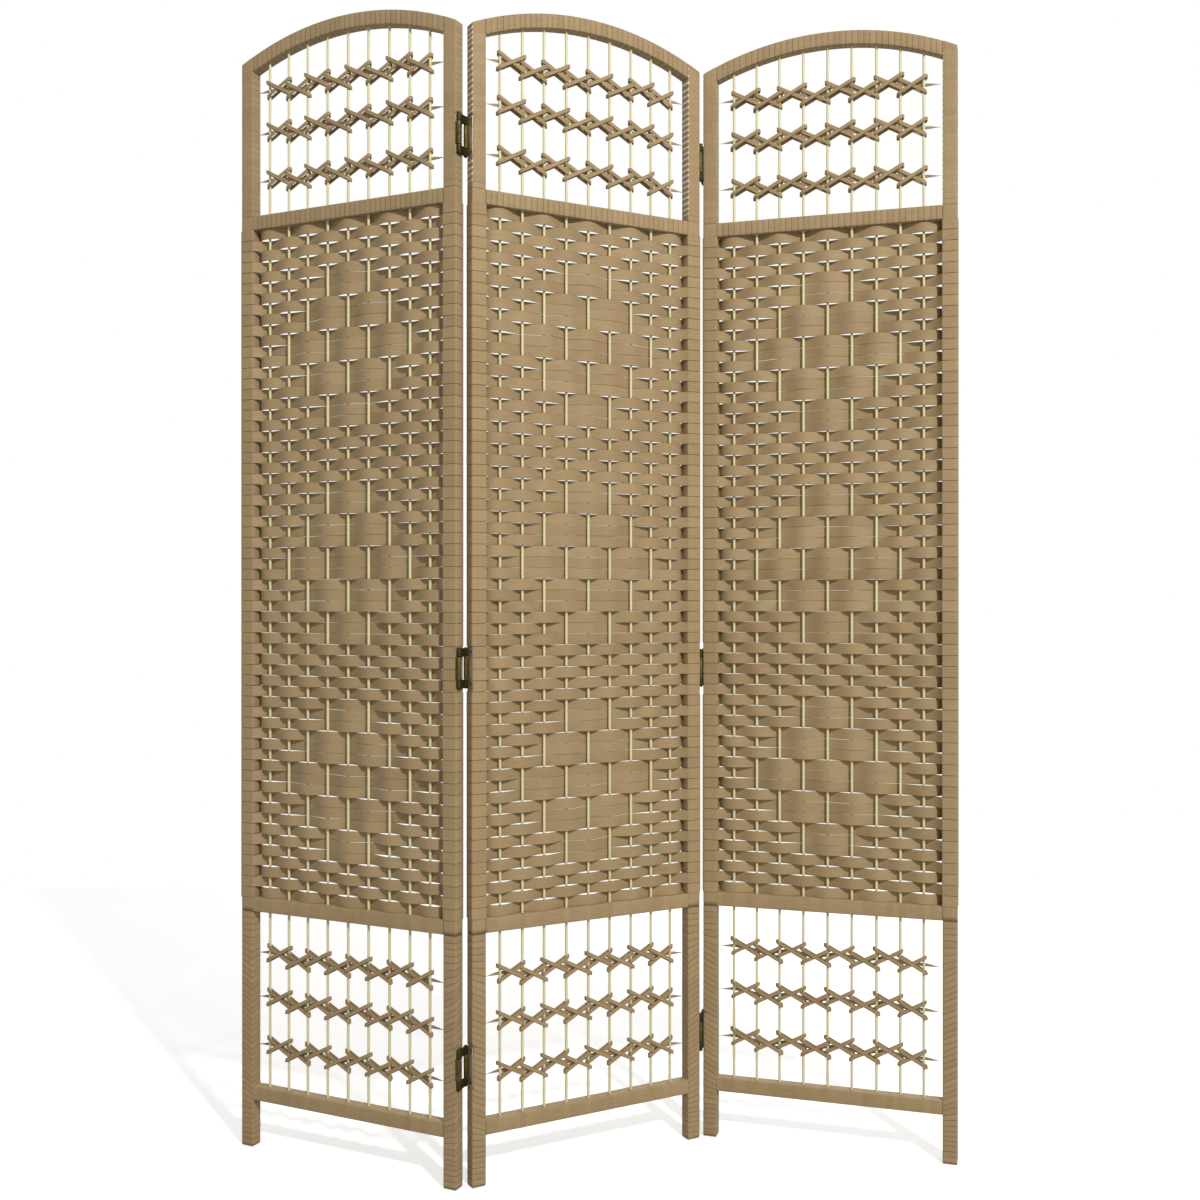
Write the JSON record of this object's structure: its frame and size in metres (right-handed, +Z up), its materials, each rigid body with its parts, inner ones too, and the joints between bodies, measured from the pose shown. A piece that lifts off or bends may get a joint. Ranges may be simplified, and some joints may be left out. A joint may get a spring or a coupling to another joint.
{
  "type": "folding screen",
  "caption": "Folding floor screen of hinged arch-topped panels, each with a plaited strip infill, cane rods, crossed bindings and double-action hinges.",
  "frame": {"origin": "on the floor under the middle of the bounding box, in the zigzag that the screen stands in", "axes": "+Z up, +X to the right as seen from the front, +Y away from the viewer"},
  "size_m": [1.1294, 0.2322, 1.768],
  "materials": {
    "stile_wrap": "timber wrapped in matt tan paper-fibre strip",
    "rail_wrap": "timber wrapped in matt tan paper-fibre strip",
    "plait": "matt tan paper-fibre strip, plaited",
    "cane": "pale peeled cane, satin",
    "hinge_metal": "aged dark brass"
  },
  "bodies": {
    "middle_panel": {"fold_1_low_leaf_b": "hinge_metal", "fold_1_mid_leaf_b": "hinge_metal", "fold_1_top_leaf_b": "hinge_metal", "fold_2_low_leaf_a": "hinge_metal", "fold_2_mid_leaf_a": "hinge_metal", "fold_2_top_leaf_a": "hinge_metal", "middle_arch_rail": "rail_wrap", "middle_bottom_rail": "rail_wrap", "middle_lower_rail": "rail_wrap", "middle_plaited_infill": "plait", "middle_rod_grille": "cane", "middle_stile_left": "stile_wrap", "middle_stile_right": "stile_wrap", "middle_upper_rail": "rail_wrap"},
    "fold_1_links": {"fold_1_low_link_low": "hinge_metal", "fold_1_low_link_top": "hinge_metal", "fold_1_low_pin_a": "hinge_metal", "fold_1_low_pin_b": "hinge_metal", "fold_1_mid_link_low": "hinge_metal", "fold_1_mid_link_top": "hinge_metal", "fold_1_mid_pin_a": "hinge_metal", "fold_1_mid_pin_b": "hinge_metal", "fold_1_top_link_low": "hinge_metal", "fold_1_top_link_top": "hinge_metal", "fold_1_top_pin_a": "hinge_metal", "fold_1_top_pin_b": "hinge_metal"},
    "left_panel": {"fold_1_low_leaf_a": "hinge_metal", "fold_1_mid_leaf_a": "hinge_metal", "fold_1_top_leaf_a": "hinge_metal", "left_arch_rail": "rail_wrap", "left_bottom_rail": "rail_wrap", "left_lower_rail": "rail_wrap", "left_plaited_infill": "plait", "left_rod_grille": "cane", "left_stile_left": "stile_wrap", "left_stile_right": "stile_wrap", "left_upper_rail": "rail_wrap"},
    "fold_2_links": {"fold_2_low_link_low": "hinge_metal", "fold_2_low_link_top": "hinge_metal", "fold_2_low_pin_a": "hinge_metal", "fold_2_low_pin_b": "hinge_metal", "fold_2_mid_link_low": "hinge_metal", "fold_2_mid_link_top": "hinge_metal", "fold_2_mid_pin_a": "hinge_metal", "fold_2_mid_pin_b": "hinge_metal", "fold_2_top_link_low": "hinge_metal", "fold_2_top_link_top": "hinge_metal", "fold_2_top_pin_a": "hinge_metal", "fold_2_top_pin_b": "hinge_metal"},
    "right_panel": {"fold_2_low_leaf_b": "hinge_metal", "fold_2_mid_leaf_b": "hinge_metal", "fold_2_top_leaf_b": "hinge_metal", "right_arch_rail": "rail_wrap", "right_bottom_rail": "rail_wrap", "right_lower_rail": "rail_wrap", "right_plaited_infill": "plait", "right_rod_grille": "cane", "right_stile_left": "stile_wrap", "right_stile_right": "stile_wrap", "right_upper_rail": "rail_wrap"}
  },
  "joints": [
    {"name": "fold_1_inner", "type": "hinge", "parent": "middle_panel", "child": "fold_1_links", "pos_m": [-0.19107, -0.09245, 0.769], "axis": [0, 0, 1], "range_deg": [-125, 40]},
    {"name": "fold_1_outer", "type": "hinge", "parent": "fold_1_links", "child": "left_panel", "pos_m": [-0.19935, -0.11284, 0.769], "axis": [0, 0, 1], "range_deg": [0, 94]},
    {"name": "fold_2_inner", "type": "hinge", "parent": "middle_panel", "child": "fold_2_links", "pos_m": [0.17148, 0.0917, 0.759], "axis": [0, 0, 1], "range_deg": [-133.5, 35]},
    {"name": "fold_2_outer", "type": "hinge", "parent": "fold_2_links", "child": "right_panel", "pos_m": [0.1777, 0.1128, 0.759], "axis": [0, 0, 1], "range_deg": [0, 90]}
  ]
}
